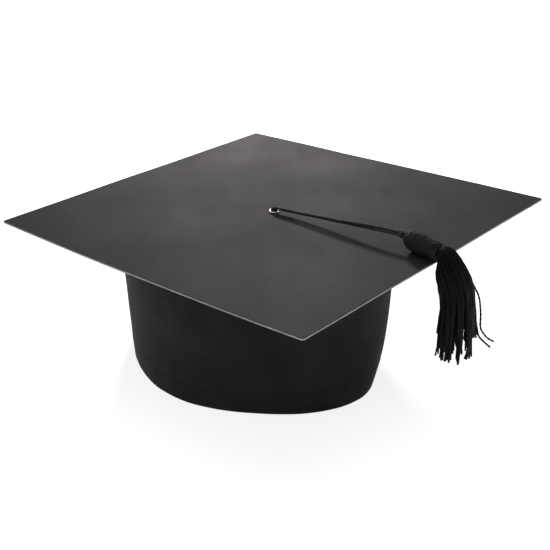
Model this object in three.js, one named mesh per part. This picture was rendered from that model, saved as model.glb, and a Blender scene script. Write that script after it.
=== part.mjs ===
// A graduation cap: a square pasteboard on a soft twill skull cap, with a corded tassel.
// Millimetres, +Z up. The origin lies on the ground under the middle of the board, and
// the front corner of the board points along -Y.
import * as THREE from "three";

// ---- Driving dimensions -----------------------------------------------------------
const BOARD_SIDE = 241.3;
const BOARD_CORNER_RADIUS = 1.5;
const TOTAL_HEIGHT = 95;
const PAPER = 0.25;
const PASTEBOARD = 0.8;
const CLEARANCE = 0.3;

// The eyelet was punched a little in front of the board's middle.
const EYELET_Y = -3.5;
const EYELET_BORE = 2.25;
const EYELET_BARREL = 2.6;
const EYELET_FLANGE = 3.4;
const EYELET_FLANGE_HEIGHT = 0.9;
const EYELET_ROLL_DEPTH = 0.8;
const EYELET_BEVEL = 0.3;
const WASHER_RADIUS = 4.2;
const WASHER_THICKNESS = 0.4;

const FABRIC = 1.0;
const TAPE = 1.0;
const GLUE = 0.5;
const KNOT_HOLE_RADIUS = 10;
const GLUE_MARGIN = 10;

const HEM_HEIGHT = 12;
const ELASTIC_MARGIN = 1.5;
const SEAM_TAPE_HALF_ANGLE = 3;
const CROWN_TAPE_HEIGHT = 6;
const TAPE_MARGIN = 1;
const LABEL_HEIGHT = 20;
const LABEL_HALF_ANGLE = 9;
const LABEL_THICKNESS = 0.4;
const LABEL_ABOVE_HEM = 4;

const CORD_RADIUS = 1.2;
const CORD_SIDES = 8;
const CORD_DIRECTION = -43.5;
const CORD_TOP_BELOW_BOARD_TOP = 0.7;

const RETAINING_KNOT_RADIUS = 4;
const RETAINING_KNOT_SQUASH = 0.8;
const RETAINING_KNOT_DROP = 2;

// Vertical stack, from the board's top face down to the crown cloth.
const BOARD_TOP = TOTAL_HEIGHT;
const CORE_TOP = BOARD_TOP - PAPER;
const CORE_BOTTOM = CORE_TOP - PASTEBOARD;
const BOARD_BOTTOM = CORE_BOTTOM - PAPER;
const CROWN_TOP = BOARD_BOTTOM - GLUE;
const WALL_TOP = CROWN_TOP - FABRIC;

// The skull cap's outline at three depths: an ellipse with semi-axes a and b, turned
// about its centre, and drawn in between its axes by pinch. The soft cap leans and
// twists between the board and the rim, so each level has its own place.
const OUTLINE_LEVELS = [
  { depth: 0, x: -12.7, y: -0.1, a: 88.5, b: 84, turn: 0, pinch: 0 },
  { depth: 0.55, x: -11.5, y: -1.1, a: 86.3, b: 80.9, turn: -22, pinch: 0.024 },
  { depth: 1, x: -18.4, y: -13.2, a: 89.2, b: 70.4, turn: -44, pinch: 0.06 },
];

// Seams, as angles round the cap from +X towards +Y.
const RIGHT_SEAM = 20;
const BACK_SEAM = 90;
const LEFT_SEAM = 160;
const SEAM_GAP = 0.1;
const ANGLE_STEP = 5;
const HEIGHT_STEP = 12;

// ---- Materials --------------------------------------------------------------------
const material = (color, roughness, metalness = 0) =>
  new THREE.MeshStandardMaterial({ color, roughness, metalness });

const MATERIALS = {
  paper: () => material(0x55535a, 0.45),
  pasteboard: () => material(0xd8d6d0, 0.9),
  nickel: () => material(0xc8c8c8, 0.25, 1),
  twill: () => material(0x1f1e22, 0.85),
  tape: () => material(0x17171a, 0.9),
  elastic: () => material(0x202022, 0.8),
  glue: () => material(0xcfc9b4, 0.6),
  label: () => material(0xe4e2dc, 0.8),
  rayon: () => material(0x141416, 0.5),
};

const radians = THREE.MathUtils.degToRad;

function named(name, geometry, kind) {
  const mesh = new THREE.Mesh(geometry, MATERIALS[kind]());
  mesh.name = name;
  return mesh;
}

// ---- Solid builders ---------------------------------------------------------------

// A closed solid through loops of points. Each loop has the same number of points; the
// solid is a ring when it comes back to its first loop, and is capped otherwise. The
// second half of each loop splits its quads the other way, so that the two faces of a
// strip of cloth are split alike and nested strips stay parallel.
function loft(loops, isRing) {
  const count = loops[0].length;
  const positions = loops.flatMap((loop) => loop.flatMap((point) => point.toArray()));
  const index = [];
  const spans = isRing ? loops.length : loops.length - 1;
  for (let i = 0; i < spans; i++) {
    const here = i * count;
    const next = ((i + 1) % loops.length) * count;
    for (let j = 0; j < count; j++) {
      const k = (j + 1) % count;
      if (j < count / 2) {
        index.push(here + j, next + k, next + j);
        index.push(here + j, here + k, next + k);
      } else {
        index.push(here + j, here + k, next + j);
        index.push(here + k, next + k, next + j);
      }
    }
  }
  if (!isRing) {
    addCap(positions, index, loops[0], 0, false);
    addCap(positions, index, loops.at(-1), (loops.length - 1) * count, true);
  }
  const geometry = new THREE.BufferGeometry();
  geometry.setAttribute("position", new THREE.Float32BufferAttribute(positions, 3));
  geometry.setIndex(index);
  return geometry;
}

// A cap is a strip between the two halves of a loop, which suits thin and round loops.
function addCap(positions, index, loop, first, isLast) {
  const count = loop.length;
  const add = (a, b, c) => index.push(first + a, first + (isLast ? b : c), first + (isLast ? c : b));
  for (let j = 0; j < count / 2 - 1; j++) {
    const far = count - 1 - j;
    add(j, j + 1, far);
    if (j + 1 < far - 1) add(j + 1, far - 1, far);
  }
}

// A solid of revolution about +Z from a profile of [radius, height] pairs.
function turned(profile, segments) {
  const points = profile.map(([radius, height]) => new THREE.Vector2(radius, height));
  return new THREE.LatheGeometry(points, segments).rotateX(Math.PI / 2);
}

// A flat ring about +Z, as a profile that closes on itself.
function washerProfile(inner, outer, low, high) {
  return [[inner, low], [outer, low], [outer, high], [inner, high], [inner, low]];
}

function extrudedPlate(shape, low, high, curveSegments = 8) {
  const options = { depth: high - low, bevelEnabled: false, curveSegments };
  return new THREE.ExtrudeGeometry(shape, options).translate(0, 0, low);
}

function circularHole(x, y, radius) {
  return new THREE.Path().absarc(x, y, radius, 0, 2 * Math.PI, true);
}

// A round tube along a smooth curve through the given points.
function tube(points, radius, sides, steps) {
  const corners = Array.from({ length: sides }, (_, i) => {
    const angle = (2 * Math.PI * i) / sides;
    return new THREE.Vector2(radius * Math.cos(angle), radius * Math.sin(angle));
  });
  const path = new THREE.CatmullRomCurve3(points.map((p) => new THREE.Vector3(...p)));
  return new THREE.ExtrudeGeometry(new THREE.Shape(corners), { steps, extrudePath: path });
}

// ---- Board ------------------------------------------------------------------------

function boardLayer(name, low, high, kind) {
  const half = BOARD_SIDE / 2;
  const round = BOARD_CORNER_RADIUS;
  const shape = new THREE.Shape();
  shape.moveTo(half, -half + round);
  for (let corner = 0; corner < 4; corner++) {
    const angle = (corner * Math.PI) / 2;
    const centre = new THREE.Vector2(half - round, half - round);
    centre.rotateAround(new THREE.Vector2(), angle);
    shape.absarc(centre.x, centre.y, round, angle, angle + Math.PI / 2, false);
  }
  const hole = new THREE.Vector2(0, EYELET_Y).rotateAround(new THREE.Vector2(), -Math.PI / 4);
  shape.holes.push(circularHole(hole.x, hole.y, EYELET_BARREL + CLEARANCE));
  const geometry = extrudedPlate(shape, low, high);
  return named(name, geometry.rotateZ(Math.PI / 4), kind);
}

function board() {
  const group = new THREE.Group();
  group.add(boardLayer("board_top_paper", CORE_TOP, BOARD_TOP, "paper"));
  group.add(boardLayer("board_core", CORE_BOTTOM, CORE_TOP, "pasteboard"));
  group.add(boardLayer("board_bottom_paper", BOARD_BOTTOM, CORE_BOTTOM, "paper"));
  return group;
}

// The eyelet's flange sits on the board, its barrel passes through the board, and its
// lower end is rolled out over the washer.
function eyelet() {
  const washerBottom = BOARD_BOTTOM - WASHER_THICKNESS;
  const rollTop = washerBottom - CLEARANCE;
  const rollBottom = rollTop - EYELET_ROLL_DEPTH;
  const flangeTop = BOARD_TOP + EYELET_FLANGE_HEIGHT;
  const ringMiddle = (EYELET_BORE + EYELET_FLANGE) / 2;
  const barrel = turned(
    [
      [EYELET_BORE, rollBottom + EYELET_BEVEL],
      [EYELET_BORE + EYELET_BEVEL, rollBottom],
      [EYELET_FLANGE, rollTop - EYELET_BEVEL],
      [EYELET_FLANGE, rollTop],
      [EYELET_BARREL, rollTop],
      [EYELET_BARREL, BOARD_TOP],
      [EYELET_FLANGE, BOARD_TOP],
      [EYELET_FLANGE, BOARD_TOP + EYELET_BEVEL],
      [ringMiddle + EYELET_BEVEL, flangeTop],
      [ringMiddle - EYELET_BEVEL, flangeTop],
      [EYELET_BORE, BOARD_TOP + EYELET_BEVEL],
      [EYELET_BORE, rollBottom + EYELET_BEVEL],
    ],
    32,
  );
  const washerInner = EYELET_BARREL + CLEARANCE;
  const washer = turned(washerProfile(washerInner, WASHER_RADIUS, washerBottom, BOARD_BOTTOM), 32);
  const group = new THREE.Group();
  group.position.y = EYELET_Y;
  group.add(named("eyelet", barrel, "nickel"));
  group.add(named("eyelet_washer", washer, "nickel"));
  return group;
}

// ---- Skull cap --------------------------------------------------------------------

// Every number of the outline at a depth, on the quadratic through the three levels.
function outlineAt(depth) {
  const [first, middle, last] = OUTLINE_LEVELS;
  const weight = (own, p, q) =>
    ((depth - p.depth) * (depth - q.depth)) / ((own.depth - p.depth) * (own.depth - q.depth));
  const weights = [
    weight(first, middle, last),
    weight(middle, first, last),
    weight(last, first, middle),
  ];
  const value = (key) => OUTLINE_LEVELS.reduce((sum, level, i) => sum + weights[i] * level[key], 0);
  return {
    x: value("x"),
    y: value("y"),
    a: value("a"),
    b: value("b"),
    turn: radians(value("turn")),
    pinch: value("pinch"),
  };
}

function outlinePoint(outline, degrees) {
  const own = radians(degrees) - outline.turn;
  const draw = 1 - (outline.pinch * (1 - Math.cos(4 * own))) / 2;
  const point = new THREE.Vector2(outline.a * Math.cos(own), outline.b * Math.sin(own));
  point.multiplyScalar(draw).rotateAround(new THREE.Vector2(), outline.turn);
  return point.add(new THREE.Vector2(outline.x, outline.y));
}

// A point of the cap's wall at an angle and a height, moved in from its outer face.
function wallPoint(degrees, height, inward) {
  const outline = outlineAt((WALL_TOP - height) / WALL_TOP);
  const before = outlinePoint(outline, degrees - 1);
  const after = outlinePoint(outline, degrees + 1);
  const along = after.sub(before).normalize();
  const point = outlinePoint(outline, degrees);
  return new THREE.Vector3(point.x - along.y * inward, point.y + along.x * inward, height);
}

// The two ends and every whole step between them, so that nested strips share edges.
function stations(from, to, step) {
  const inside = [];
  for (let i = Math.floor(from / step) + 1; i * step < to; i++) {
    inside.push(i * step);
  }
  return [from, ...inside, to];
}

// A strip of cloth that follows the wall between two angles and two heights, and
// between two distances in from the wall's outer face.
function wallStrip({ from, to, low, high, outer, inner }) {
  const isRing = to - from === 360;
  const heights = stations(low, high, HEIGHT_STEP);
  const angles = stations(from, to, ANGLE_STEP);
  if (isRing) {
    angles.pop();
  }
  const loops = angles.map((angle) => [
    ...heights.map((height) => wallPoint(angle, height, inner)),
    ...heights.map((height) => wallPoint(angle, height, outer)).reverse(),
  ]);
  return loft(loops, isRing);
}

function sidePanels() {
  const panels = [
    ["front_panel", LEFT_SEAM, RIGHT_SEAM + 360],
    ["back_right_panel", RIGHT_SEAM, BACK_SEAM],
    ["back_left_panel", BACK_SEAM, LEFT_SEAM],
  ];
  const group = new THREE.Group();
  for (const [name, from, to] of panels) {
    const size = { low: 0, high: WALL_TOP, outer: 0, inner: FABRIC };
    const geometry = wallStrip({ from: from + SEAM_GAP, to: to - SEAM_GAP, ...size });
    group.add(named(name, geometry, "twill"));
  }
  return group;
}

// Taped seam allowances inside the cap, between the hem and the crown tape.
function seamTapes() {
  const tapes = [
    ["seam_tape_right", RIGHT_SEAM],
    ["seam_tape_back", BACK_SEAM],
    ["seam_tape_left", LEFT_SEAM],
  ];
  const outer = FABRIC + CLEARANCE;
  const low = HEM_HEIGHT + TAPE_MARGIN;
  const high = WALL_TOP - CROWN_TAPE_HEIGHT - TAPE_MARGIN;
  const group = new THREE.Group();
  for (const [name, seam] of tapes) {
    const from = seam - SEAM_TAPE_HALF_ANGLE;
    const to = seam + SEAM_TAPE_HALF_ANGLE;
    const geometry = wallStrip({ from, to, low, high, outer, inner: outer + TAPE });
    group.add(named(name, geometry, "tape"));
  }
  return group;
}

// The wall's turned-up edge. Behind the side seams it is a casing over the elastic.
function hem() {
  const front = { from: LEFT_SEAM + 1, to: RIGHT_SEAM + 359 };
  const back = { from: RIGHT_SEAM + 1, to: LEFT_SEAM - 1 };
  const first = FABRIC + CLEARANCE;
  const second = first + FABRIC + CLEARANCE;
  const height = { low: 0, high: HEM_HEIGHT };
  const elasticHeight = { low: ELASTIC_MARGIN, high: HEM_HEIGHT - ELASTIC_MARGIN };
  const turnUp = wallStrip({ ...front, ...height, outer: first, inner: first + FABRIC });
  const casing = wallStrip({ ...back, ...height, outer: second, inner: second + FABRIC });
  const elastic = wallStrip({ ...back, ...elasticHeight, outer: first, inner: first + FABRIC });
  const group = new THREE.Group();
  group.add(named("hem_front", turnUp, "twill"));
  group.add(named("hem_back_casing", casing, "twill"));
  group.add(named("hem_elastic", elastic, "elastic"));
  return group;
}

// The crown cloth closes the skull cap under the board and is glued to it. It has a
// round hole for the cord's retaining knot.
function crown() {
  const outline = outlineAt(0);
  const disc = (inset) => {
    const shape = new THREE.Shape();
    shape.absellipse(outline.x, outline.y, outline.a - inset, outline.b - inset, 0, 2 * Math.PI);
    return shape;
  };
  const clothShape = disc(0);
  clothShape.holes.push(circularHole(0, EYELET_Y, KNOT_HOLE_RADIUS));
  const glueShape = disc(GLUE_MARGIN);
  glueShape.holes.push(circularHole(0, EYELET_Y, KNOT_HOLE_RADIUS + GLUE_MARGIN));
  const tapeOuter = FABRIC + CLEARANCE;
  const crownTape = wallStrip({
    from: 0,
    to: 360,
    low: WALL_TOP - CROWN_TAPE_HEIGHT,
    high: WALL_TOP - CLEARANCE,
    outer: tapeOuter,
    inner: tapeOuter + TAPE,
  });
  const group = new THREE.Group();
  group.add(named("glue_layer", extrudedPlate(glueShape, CROWN_TOP, BOARD_BOTTOM, 36), "glue"));
  group.add(named("crown_cloth", extrudedPlate(clothShape, WALL_TOP, CROWN_TOP, 36), "twill"));
  group.add(named("crown_seam_tape", crownTape, "tape"));
  return group;
}

function label() {
  const outer = FABRIC + CLEARANCE + TAPE + CLEARANCE;
  const low = HEM_HEIGHT + LABEL_ABOVE_HEM;
  const geometry = wallStrip({
    from: BACK_SEAM - LABEL_HALF_ANGLE,
    to: BACK_SEAM + LABEL_HALF_ANGLE,
    low,
    high: low + LABEL_HEIGHT,
    outer,
    inner: outer + LABEL_THICKNESS,
  });
  return named("blank_label", geometry, "label");
}

// ---- Cord and tassel --------------------------------------------------------------

// The route's own frame: x runs outward from the eyelet over the board, y runs along
// the board's edge, z is up.
const CORD_ROUTE = [
  [-0.4, 0, BOARD_TOP + 1.1],
  [0.8, 0, BOARD_TOP + 2],
  [2.7, 0, BOARD_TOP + 2.6],
  [6, 0.1, BOARD_TOP + 2.8],
  [12, 0.3, BOARD_TOP + 3],
  [20, 0.4, BOARD_TOP + 3.4],
  [29, 0.4, BOARD_TOP + 4],
  [38, 0.2, BOARD_TOP + 4.6],
  [47, 0, BOARD_TOP + 5.2],
  [56, -0.2, BOARD_TOP + 5.9],
  [65, -0.3, BOARD_TOP + 6.6],
  [74, -0.3, BOARD_TOP + 7.2],
  [82, -0.1, BOARD_TOP + 7.6],
  [90, 0, BOARD_TOP + 7.8],
];

const KNOT_X = 92.8;
const KNOT_HEIGHT = 7.8;
const KNOT_RADIUS = 2.4;

// The head's axis, from the end at the knot to the end of the neck.
const HEAD_START = new THREE.Vector3(95.6, 0, BOARD_TOP + 7.3);
const NECK_END = new THREE.Vector3(119.8, -5.5, BOARD_TOP + 5.5);
const NECK_LENGTH = 6.4;
const NECK_RADIUS = 4.4;

// The head's bulb, as pairs of distance from the knot and radius.
const BULB = [
  [0, 0],
  [0.3, 2.6],
  [2, 4.6],
  [5, 5.8],
  [8.5, 6.1],
  [12, 5.9],
  [16, 5.2],
];

const BINDING_RADIUS = 5.2;
const BINDING_BEVEL = 0.3;
const BINDING_LENGTH = 4.8;
const BINDING_FROM_END = 1.2;

// The two legs of the tassel's loop, twisted into one cord.
function cordAboveBoard() {
  return named("cord_run", tube(CORD_ROUTE, CORD_RADIUS, CORD_SIDES, 44), "rayon");
}

// The same loop inside the eyelet, and the overhand knot that holds it under the board.
function cordBelowBoard() {
  const top = BOARD_TOP - CORD_TOP_BELOW_BOARD_TOP;
  const knotTop = BOARD_BOTTOM - RETAINING_KNOT_DROP;
  const stem = turned(
    [[0, knotTop + CLEARANCE], [CORD_RADIUS, knotTop + CLEARANCE], [CORD_RADIUS, top], [0, top]],
    12,
  );
  const knot = new THREE.SphereGeometry(RETAINING_KNOT_RADIUS, 20, 12);
  knot.scale(1, 1, RETAINING_KNOT_SQUASH);
  knot.translate(0, 0, knotTop - RETAINING_KNOT_RADIUS * RETAINING_KNOT_SQUASH);
  const group = new THREE.Group();
  group.add(named("cord_through_eyelet", stem, "rayon"));
  group.add(named("retaining_knot", knot, "rayon"));
  return group;
}

// Places a solid that was turned about +Z so that its axis runs along the tassel.
function alongTassel(mesh) {
  const direction = NECK_END.clone().sub(HEAD_START).normalize();
  mesh.position.copy(HEAD_START);
  mesh.quaternion.setFromUnitVectors(new THREE.Vector3(0, 0, 1), direction);
  return mesh;
}

function tasselHead() {
  const length = NECK_END.distanceTo(HEAD_START);
  const neck = [
    [NECK_RADIUS, length - NECK_LENGTH],
    [NECK_RADIUS, length],
    [0, length],
  ];
  const head = turned([...BULB.map(([along, radius]) => [radius, along]), ...neck], 24);
  const inner = NECK_RADIUS + CLEARANCE;
  const end = length - BINDING_FROM_END;
  const start = end - BINDING_LENGTH;
  const binding = turned(
    [
      [inner, start],
      [BINDING_RADIUS - BINDING_BEVEL, start],
      [BINDING_RADIUS, (start + end) / 2],
      [BINDING_RADIUS - BINDING_BEVEL, end],
      [inner, end],
      [inner, start],
    ],
    24,
  );
  const knot = new THREE.SphereGeometry(KNOT_RADIUS, 16, 10);
  knot.translate(KNOT_X, 0, BOARD_TOP + KNOT_HEIGHT);
  const group = new THREE.Group();
  group.add(named("tassel_knot", knot, "rayon"));
  group.add(alongTassel(named("tassel_head", head, "rayon")));
  group.add(alongTassel(named("neck_binding", binding, "rayon")));
  return group;
}

// The skirt runs out from the neck, over the board's edge, and hangs. Each station has
// its centre, its tilt from straight down, and its half widths along the edge (wide)
// and across the bundle (deep).
const SKIRT_STATIONS = [
  { x: 121.6, y: -5.7, z: 5.3, tilt: 82, wide: 4.4, deep: 4.2 },
  { x: 123.8, y: -5.8, z: 3.7, tilt: 64, wide: 7.6, deep: 5.6 },
  { x: 126, y: -6.2, z: -0.8, tilt: 45, wide: 10, deep: 7.2 },
  { x: 129.2, y: -5.4, z: -8.5, tilt: 26, wide: 11, deep: 8.4 },
  { x: 131.4, y: -4.2, z: -18, tilt: 12, wide: 11.5, deep: 8.9 },
  { x: 132.4, y: -3.8, z: -29, tilt: 4, wide: 12.3, deep: 9.3 },
  { x: 132.8, y: -3.6, z: -40, tilt: 0, wide: 13.1, deep: 9.7 },
  { x: 133, y: -3.5, z: -51, tilt: 0, wide: 13.4, deep: 9.8 },
];

function skirt() {
  const around = 20;
  const loops = SKIRT_STATIONS.map(({ x, y, z, tilt, wide, deep }) => {
    const across = new THREE.Vector3(Math.cos(radians(tilt)), 0, Math.sin(radians(tilt)));
    return Array.from({ length: around }, (_, i) => {
      const angle = (-2 * Math.PI * i) / around;
      const point = new THREE.Vector3(x, y, BOARD_TOP + z);
      point.addScaledVector(across, deep * Math.cos(angle));
      return point.add(new THREE.Vector3(0, wide * Math.sin(angle), 0));
    });
  });
  return named("tassel_skirt", loft(loops, false), "rayon");
}

// Single strands that have sprung away from the bundle.
const STRAND_RADIUS = 0.55;
const STRAY_ROUTES = {
  stray_strand_outer: [
    [133, 6.4, -11],
    [135, 9.3, -16.9],
    [136.5, 12.5, -23.9],
    [137.5, 13.9, -33.6],
    [138.5, 13.1, -41.8],
    [140, 14.6, -46.1],
    [142, 16.7, -49.5],
    [144.5, 18.8, -51.5],
  ],
  stray_strand_inner: [
    [138, 9.5, -41.7],
    [139.5, 10.3, -46.4],
    [141.5, 13.1, -50.4],
    [144, 16, -54.1],
  ],
};

function strayStrands() {
  const group = new THREE.Group();
  for (const [name, route] of Object.entries(STRAY_ROUTES)) {
    const points = route.map(([x, y, z]) => [x, y, BOARD_TOP + z]);
    group.add(named(name, tube(points, STRAND_RADIUS, CORD_SIDES, 16), "rayon"));
  }
  return group;
}

function tassel() {
  const group = new THREE.Group();
  group.position.y = EYELET_Y;
  group.rotation.z = radians(CORD_DIRECTION);
  group.add(cordAboveBoard(), cordBelowBoard(), tasselHead(), skirt(), strayStrands());
  return group;
}

// ---- Assembly ---------------------------------------------------------------------

const cap = new THREE.Group();
cap.add(board(), eyelet(), crown(), sidePanels(), seamTapes(), hem(), label(), tassel());

export default cap;
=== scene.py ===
"""A graduation cap: a satin board, a twill skull cap and a corded tassel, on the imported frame.

Shapes are worked out in millimetres and turned into metres when a mesh is made.
"""

import math
import random

import bpy
from mathutils import Matrix, Vector, noise


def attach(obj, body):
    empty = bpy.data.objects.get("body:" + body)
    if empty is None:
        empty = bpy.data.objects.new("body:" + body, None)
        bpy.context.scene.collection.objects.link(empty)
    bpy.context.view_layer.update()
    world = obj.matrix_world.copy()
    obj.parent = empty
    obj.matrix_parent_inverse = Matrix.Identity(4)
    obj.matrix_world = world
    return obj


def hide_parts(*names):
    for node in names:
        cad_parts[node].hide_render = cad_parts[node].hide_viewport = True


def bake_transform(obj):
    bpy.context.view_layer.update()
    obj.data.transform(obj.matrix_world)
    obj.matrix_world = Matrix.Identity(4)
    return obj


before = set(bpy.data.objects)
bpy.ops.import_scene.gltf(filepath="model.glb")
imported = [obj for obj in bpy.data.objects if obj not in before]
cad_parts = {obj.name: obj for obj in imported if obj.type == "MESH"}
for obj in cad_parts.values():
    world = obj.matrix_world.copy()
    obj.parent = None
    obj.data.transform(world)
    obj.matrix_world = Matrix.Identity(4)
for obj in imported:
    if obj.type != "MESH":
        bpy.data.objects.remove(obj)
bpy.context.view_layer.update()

MM = 0.001
TAU = 2 * math.pi

# ---- Driving dimensions, the same as the CAD model's (mm, degrees) --------------------
BOARD_HALF = 241.3 / 2
BOARD_CORNER_RADIUS = 1.5
BOARD_TOP = 95.0
PAPER = 0.25
PASTEBOARD = 0.8
CORE_TOP = BOARD_TOP - PAPER
CORE_BOTTOM = CORE_TOP - PASTEBOARD
BOARD_BOTTOM = CORE_BOTTOM - PAPER
GLUE = 0.5
FABRIC = 1.0
TAPE = 1.0
GAP = 0.3
CROWN_TOP = BOARD_BOTTOM - GLUE
WALL_TOP = CROWN_TOP - FABRIC

EYELET = Vector((0, -3.5, 0))
EYELET_HOLE = 2.9
EYELET_BORE = 2.25
EYELET_BARREL = 2.6
EYELET_FLANGE = 3.4
WASHER_RADIUS = 4.2
WASHER_THICKNESS = 0.4
KNOT_HOLE_RADIUS = 10
GLUE_MARGIN = 10

HEM_HEIGHT = 12
ELASTIC_INSET = 1.5
LABEL_LOW, LABEL_HIGH = HEM_HEIGHT + 4, HEM_HEIGHT + 24
LABEL_HALF_ANGLE = 9
CROWN_RIPPLE = 0.35
CROWN_TAPE_HEIGHT = 6
RIGHT_SEAM, BACK_SEAM, LEFT_SEAM = 20, 90, 160
SEAM_TAPE_HALF_ANGLE = 3

# Outline of the skull cap at three depths: depth, centre, semi-axes, turn and pinch.
OUTLINE_LEVELS = (
    (0.0, -12.7, -0.1, 88.5, 84.0, 0.0, 0.0),
    (0.55, -11.5, -1.1, 86.3, 80.9, -22.0, 0.024),
    (1.0, -18.4, -13.2, 89.2, 70.4, -44.0, 0.06),
)

# The cord's route in its own frame: outward from the eyelet, along the board's edge, up.
CORD_DIRECTION = math.radians(-43.5)
CORD_ROUTE = (
    (-0.4, 0, 1.1),
    (0.8, 0, 2),
    (2.7, 0, 2.6),
    (6, 0.1, 2.8),
    (12, 0.3, 3),
    (20, 0.4, 3.4),
    (29, 0.4, 4),
    (38, 0.2, 4.6),
    (47, 0, 5.2),
    (56, -0.2, 5.9),
    (65, -0.3, 6.6),
    (74, -0.3, 7.2),
    (82, -0.1, 7.6),
    (90, 0, 7.8),
)
KNOT_PLACE = (92.8, 0, 7.8)
HEAD_START = (95.6, 0, 7.3)
NECK_END = (119.8, -5.5, 5.5)
# Distance from the knot, and the radius of the head there.
HEAD_PROFILE = ((0, 0.9), (0.3, 2.6), (2, 4.6), (5, 5.8), (8.5, 6.1), (12, 5.9), (16, 5.2), (18.6, 4.4))
NECK_RADIUS = 4.4

# The skirt: centre (outward, along, up), tilt from straight down, half widths.
SKIRT_STATIONS = (
    (121.6, -5.7, 5.3, 82, 4.4, 4.2),
    (123.8, -5.8, 3.7, 64, 7.6, 5.6),
    (126.0, -6.2, -0.8, 45, 10.0, 7.2),
    (129.2, -5.4, -8.5, 26, 11.0, 8.4),
    (131.4, -4.2, -18, 12, 11.5, 8.9),
    (132.4, -3.8, -29, 4, 12.3, 9.3),
    (132.8, -3.6, -40, 0, 13.1, 9.7),
    (133.0, -3.5, -51, 0, 13.4, 9.8),
)
STRAY_ROUTES = {
    "stray_strand_outer": (
        (133, 6.4, -11),
        (135, 9.3, -16.9),
        (136.5, 12.5, -23.9),
        (137.5, 13.9, -33.6),
        (138.5, 13.1, -41.8),
        (140, 14.6, -46.1),
        (142, 16.7, -49.5),
        (144.5, 18.8, -51.5),
    ),
    "stray_strand_inner": (
        (138, 9.5, -41.7),
        (139.5, 10.3, -46.4),
        (141.5, 13.1, -50.4),
        (144, 16, -54.1),
    ),
}

# ---- Camera and light -----------------------------------------------------------------
CAMERA_LENS = 62.34
CAMERA_SHIFT = 0.1091
CAMERA_AZIMUTH = -0.579
CAMERA_ELEVATION = 24.767
CAMERA_ROLL = -2.168
CAMERA_DISTANCE = 600.633
CAMERA_RIGHT, CAMERA_UP = -36.807, -41.315
WORLD_STRENGTH = 0.32
FLOOR_GLOW = 0.78
PALE_PINK = (1.0, 0.93, 1.0)
WHITE = (1.0, 1.0, 1.0)


def make_camera():
    azimuth, elevation, roll = map(math.radians, (CAMERA_AZIMUTH, CAMERA_ELEVATION, CAMERA_ROLL))
    level = math.cos(elevation)
    back = Vector((math.sin(azimuth) * level, -math.cos(azimuth) * level, math.sin(elevation)))
    right = (-back).cross(Vector((0, 0, 1))).normalized()
    up = right.cross(-back)
    across = right * math.cos(roll) + up * math.sin(roll)
    upward = up * math.cos(roll) - right * math.sin(roll)
    place = Vector((0, 0, BOARD_TOP)) + back * CAMERA_DISTANCE
    place += across * CAMERA_RIGHT + upward * CAMERA_UP
    data = bpy.data.cameras.new("camera")
    data.lens = CAMERA_LENS
    data.shift_x = CAMERA_SHIFT
    data.clip_start = 0.01
    camera = bpy.data.objects.new("camera", data)
    turn = Matrix((across, upward, back)).transposed().to_4x4()
    camera.matrix_world = Matrix.Translation(place * MM) @ turn
    bpy.context.scene.collection.objects.link(camera)
    bpy.context.scene.camera = camera


def area_light(name, place, aim, width, height, power, color=WHITE):
    data = bpy.data.lights.new(name, "AREA")
    data.shape = "RECTANGLE"
    data.size = width
    data.size_y = height
    data.energy = power
    data.color = color
    light = bpy.data.objects.new(name, data)
    light.location = place
    light.rotation_euler = (Vector(aim) - Vector(place)).to_track_quat("-Z", "Y").to_euler()
    light.visible_camera = False
    bpy.context.scene.collection.objects.link(light)


def make_light():
    bpy.context.scene.view_settings.view_transform = "Standard"
    world = bpy.data.worlds.new("studio")
    world.use_nodes = True
    background = world.node_tree.nodes["Background"]
    background.inputs["Color"].default_value = (1, 1, 1, 1)
    background.inputs["Strength"].default_value = WORLD_STRENGTH
    bpy.context.scene.world = world
    cap = (0, 0, 0.09)
    area_light("key_back", (0.045, 0.78, 0.468), cap, 0.16, 0.14, 4.2, PALE_PINK)
    area_light("softbox_left", (-1.6, 0.2, 0.9), cap, 1.0, 0.8, 0.7)
    area_light("softbox_top", (0.1, 0.3, 2.4), cap, 2.0, 2.0, 9)


def make_floor():
    half = 8
    mesh = bpy.data.meshes.new("floor")
    corners = [(-half, -half, 0), (half, -half, 0), (half, half, 0), (-half, half, 0)]
    mesh.from_pydata(corners, [], [(0, 1, 2, 3)])
    floor = bpy.data.objects.new("floor", mesh)
    floor.location.z = -0.0004
    bpy.context.scene.collection.objects.link(floor)
    paint = Paint("floor_paper", roughness=0.9, specular=0.1)
    paint.shader.inputs["Base Color"].default_value = (0.8, 0.8, 0.8, 1)
    paint.shader.inputs["Emission Color"].default_value = (1, 1, 1, 1)
    paint.shader.inputs["Emission Strength"].default_value = FLOOR_GLOW
    mesh.materials.append(paint.material)


# ---- Materials ------------------------------------------------------------------------


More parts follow.
